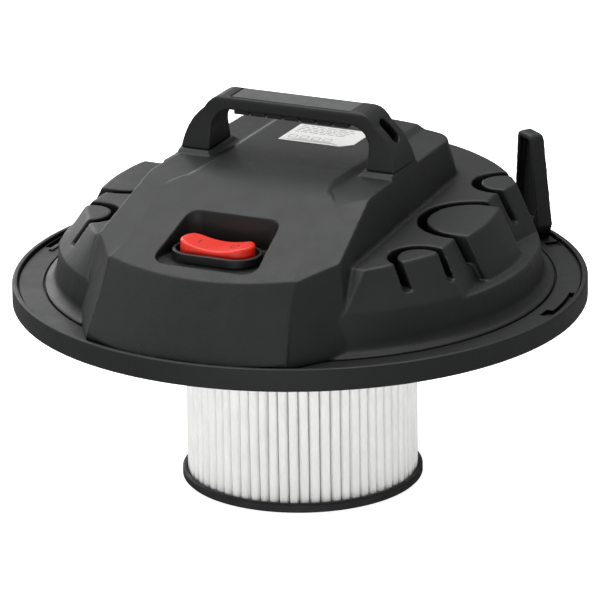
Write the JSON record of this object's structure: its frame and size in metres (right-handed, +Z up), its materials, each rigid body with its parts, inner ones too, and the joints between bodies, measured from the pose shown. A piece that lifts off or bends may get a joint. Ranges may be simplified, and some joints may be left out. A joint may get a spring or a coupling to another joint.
{
  "type": "shop vacuum motor head",
  "caption": "Motor head of a wet and dry vacuum: round rim, carry handle, rocker switch, nozzle docks, cable hook and a pleated cartridge filter below.",
  "frame": {"origin": "on the head's axis, at the underside of the filter's bottom cap, which the head stands on", "axes": "+Z up, -Y towards the switch, +Y towards the cord inlet, +X to the right seen from the switch"},
  "size_m": [0.3799, 0.38, 0.2592],
  "materials": {
    "housing_black": "fine grained moulding, charcoal",
    "soft_grip": "matt soft-touch panel",
    "switch_red": "satin red",
    "switch_black": "satin black",
    "steel": "ground",
    "zinc_steel": "zinc plated",
    "brass_tab": "stamped",
    "rubber_black": "matt",
    "aluminium_cast": "cast",
    "lamination": "varnished laminations",
    "copper_wire": "enamelled wire",
    "copper_bar": "turned bars",
    "carbon": "pressed carbon",
    "filter_paper": "pleated filter paper, off white",
    "filter_cap": "moulded polyurethane, black",
    "core_plastic": "moulded",
    "label_white": "printed foil, no lettering"
  },
  "bodies": {
    "head": {"base_plate": "housing_black", "top_housing": "housing_black", "handle_body": "housing_black", "handle_top_inlay": "soft_grip", "handle_finger_grip": "soft_grip", "switch_body": "switch_black", "switch_collar": "switch_black", "switch_pivot_pin": "steel", "switch_terminals": "brass_tab", "motor_gasket": "rubber_black", "fan_pan": "zinc_steel", "motor_lower_bracket": "aluminium_cast", "motor_stator": "lamination", "motor_windings": "copper_wire", "motor_upper_bracket": "aluminium_cast", "lower_bearing": "steel", "upper_bearing": "steel", "carbon_brushes": "carbon", "brush_holders": "brass_tab", "motor_top_damper": "rubber_black", "float_cage": "housing_black", "cable_hook": "housing_black", "cord_gland": "rubber_black", "rating_label": "label_white", "tank_seal": "rubber_black", "housing_screws": "zinc_steel", "handle_screws": "zinc_steel"},
    "rotor": {"motor_shaft": "steel", "motor_armature": "lamination", "motor_commutator": "copper_bar", "fan_impeller": "aluminium_cast"},
    "cartridge_filter": {"filter_media": "filter_paper", "filter_bottom_cap": "filter_cap", "filter_top_seal": "rubber_black", "filter_core": "core_plastic"},
    "float": {"float_cup": "core_plastic", "float_seal": "rubber_black"},
    "rocker": {"switch_rocker": "switch_red"}
  },
  "joints": [
    {"name": "switch_rock", "type": "hinge", "parent": "head", "child": "rocker", "pos_m": [0, -0.122, 0.182], "axis": [0, -1, 0], "range_deg": [0, 7]},
    {"name": "motor_spin", "type": "hinge", "parent": "head", "child": "rotor", "pos_m": [0, 0, 0.169], "axis": [0, 0, 1], "continuous": true},
    {"name": "float_rise", "type": "slide", "parent": "head", "child": "float", "axis": [0, 0, 1], "range_m": [0, 0.02]},
    {"name": "filter_pull", "type": "slide", "parent": "head", "child": "cartridge_filter", "axis": [0, 0, -1], "range_m": [0, 0.14]}
  ]
}
